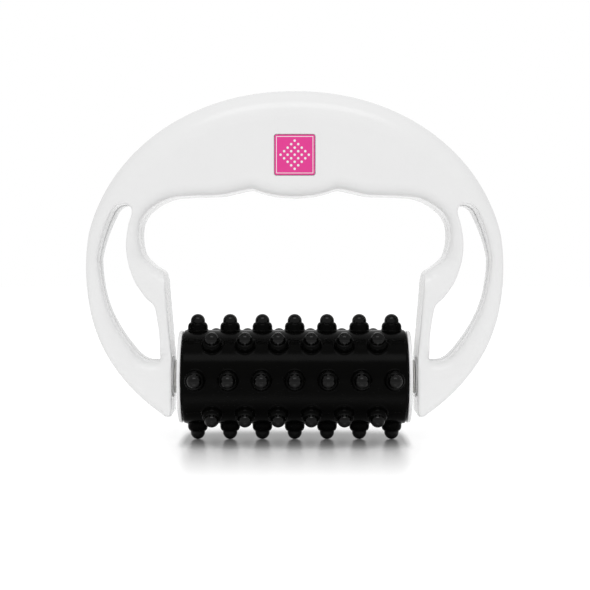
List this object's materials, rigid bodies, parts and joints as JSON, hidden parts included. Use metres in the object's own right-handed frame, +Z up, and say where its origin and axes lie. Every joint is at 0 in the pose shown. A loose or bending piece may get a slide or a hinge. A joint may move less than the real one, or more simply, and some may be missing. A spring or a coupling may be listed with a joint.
{
  "type": "body massage roller",
  "caption": "Hand-held massage roller: a ring-shaped moulded grip, open below, whose legs carry a studded soft roller that spins on a fixed axle.",
  "frame": {"origin": "on the ground under the middle of the roller, where the lowest studs touch it", "axes": "+X along the axle to the right, +Y away from the labelled front, +Z up through the grip"},
  "size_m": [0.178, 0.054, 0.1496],
  "materials": {
    "handle_white": "satin moulded white ABS",
    "cap_white": "satin moulded white ABS",
    "sleeve_black": "satin black thermoplastic rubber",
    "core_plastic": "plain dark grey ABS",
    "bearing_plastic": "natural acetal",
    "steel": "zinc-plated steel",
    "label_pink": "satin pink plate with a plain dot pattern"
  },
  "bodies": {
    "handle": {"handle_front_shell": "handle_white", "handle_rear_shell": "handle_white", "grip_label": "label_pink", "grip_screw_left": "steel", "grip_screw_right": "steel", "shoulder_screw_left": "steel", "shoulder_screw_right": "steel", "foot_screw_left": "steel", "foot_screw_right": "steel", "axle": "steel", "axle_clip_left": "steel", "axle_clip_right": "steel", "thrust_washer_left": "bearing_plastic", "thrust_washer_right": "bearing_plastic"},
    "roller": {"roller_sleeve": "sleeve_black", "roller_core": "core_plastic", "end_cap_left": "cap_white", "end_cap_right": "cap_white", "bush_left": "bearing_plastic", "bush_right": "bearing_plastic"}
  },
  "joints": [
    {"name": "roller_spin", "type": "hinge", "parent": "handle", "child": "roller", "pos_m": [0, 0, 0.027], "axis": [1, 0, 0], "continuous": true}
  ]
}
